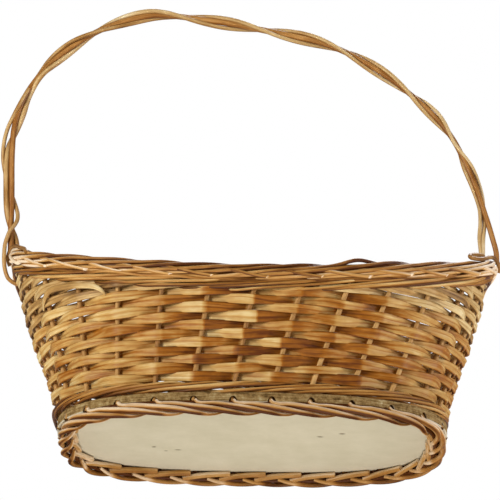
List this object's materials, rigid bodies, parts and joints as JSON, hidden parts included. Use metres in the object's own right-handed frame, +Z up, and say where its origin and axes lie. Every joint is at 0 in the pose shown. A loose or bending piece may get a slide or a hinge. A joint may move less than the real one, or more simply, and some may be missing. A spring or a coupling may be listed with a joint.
{
  "type": "easter basket",
  "caption": "Oval willow basket with a flared, saddle-shaped woven wall on a wooden base board and a fixed, twisted arch handle for carrying.",
  "frame": {"origin": "middle of the base, on the plane that the foot border stands on", "axes": "+Z up, +X along the long way of the oval to the right of the pictured side, -Y towards the pictured side"},
  "size_m": [0.3294, 0.224, 0.3043],
  "materials": {
    "board": "bare planed cream board with a rough sawn edge",
    "border": "buff willow rods, slightly bleached, satin",
    "stake": "buff willow rods, satin",
    "weaver": "golden brown split willow, satin",
    "packing": "pale straw-coloured willow skein, satin",
    "handle": "twisted buff willow rods, satin"
  },
  "bodies": {
    "root": {"base_board": "board", "foot_border": "border", "stake_01": "stake", "stake_02": "stake", "stake_03": "stake", "stake_04": "stake", "stake_05": "stake", "stake_06": "stake", "stake_07": "stake", "stake_08": "stake", "stake_09": "stake", "stake_10": "stake", "stake_11": "stake", "stake_12": "stake", "stake_13": "stake", "stake_14": "stake", "stake_15": "stake", "stake_16": "stake", "stake_17": "stake", "stake_18": "stake", "stake_19": "stake", "stake_20": "stake", "stake_21": "stake", "stake_22": "stake", "stake_23": "stake", "stake_24": "stake", "stake_25": "stake", "stake_26": "stake", "stake_27": "stake", "stake_28": "stake", "lower_wale_rod_a": "weaver", "lower_wale_rod_b": "weaver", "weaver_row_01": "weaver", "weaver_row_02": "weaver", "weaver_row_03": "weaver", "weaver_row_04": "weaver", "weaver_row_05": "weaver", "weaver_row_06": "weaver", "weaver_row_07": "weaver", "weaver_row_08": "weaver", "weaver_row_09": "weaver", "weaver_row_10": "weaver", "weaver_row_11": "weaver", "packing_left_1": "packing", "packing_left_2": "packing", "packing_left_3": "packing", "packing_left_4": "packing", "packing_right_1": "packing", "packing_right_2": "packing", "packing_right_3": "packing", "packing_right_4": "packing", "upper_wale_rod_a": "weaver", "upper_wale_rod_b": "weaver", "rim_border": "border", "handle_core": "handle", "handle_wrap_outer": "handle", "handle_wrap_inner": "handle", "handle_tie_left": "handle", "handle_tie_right": "handle"}
  },
  "joints": []
}
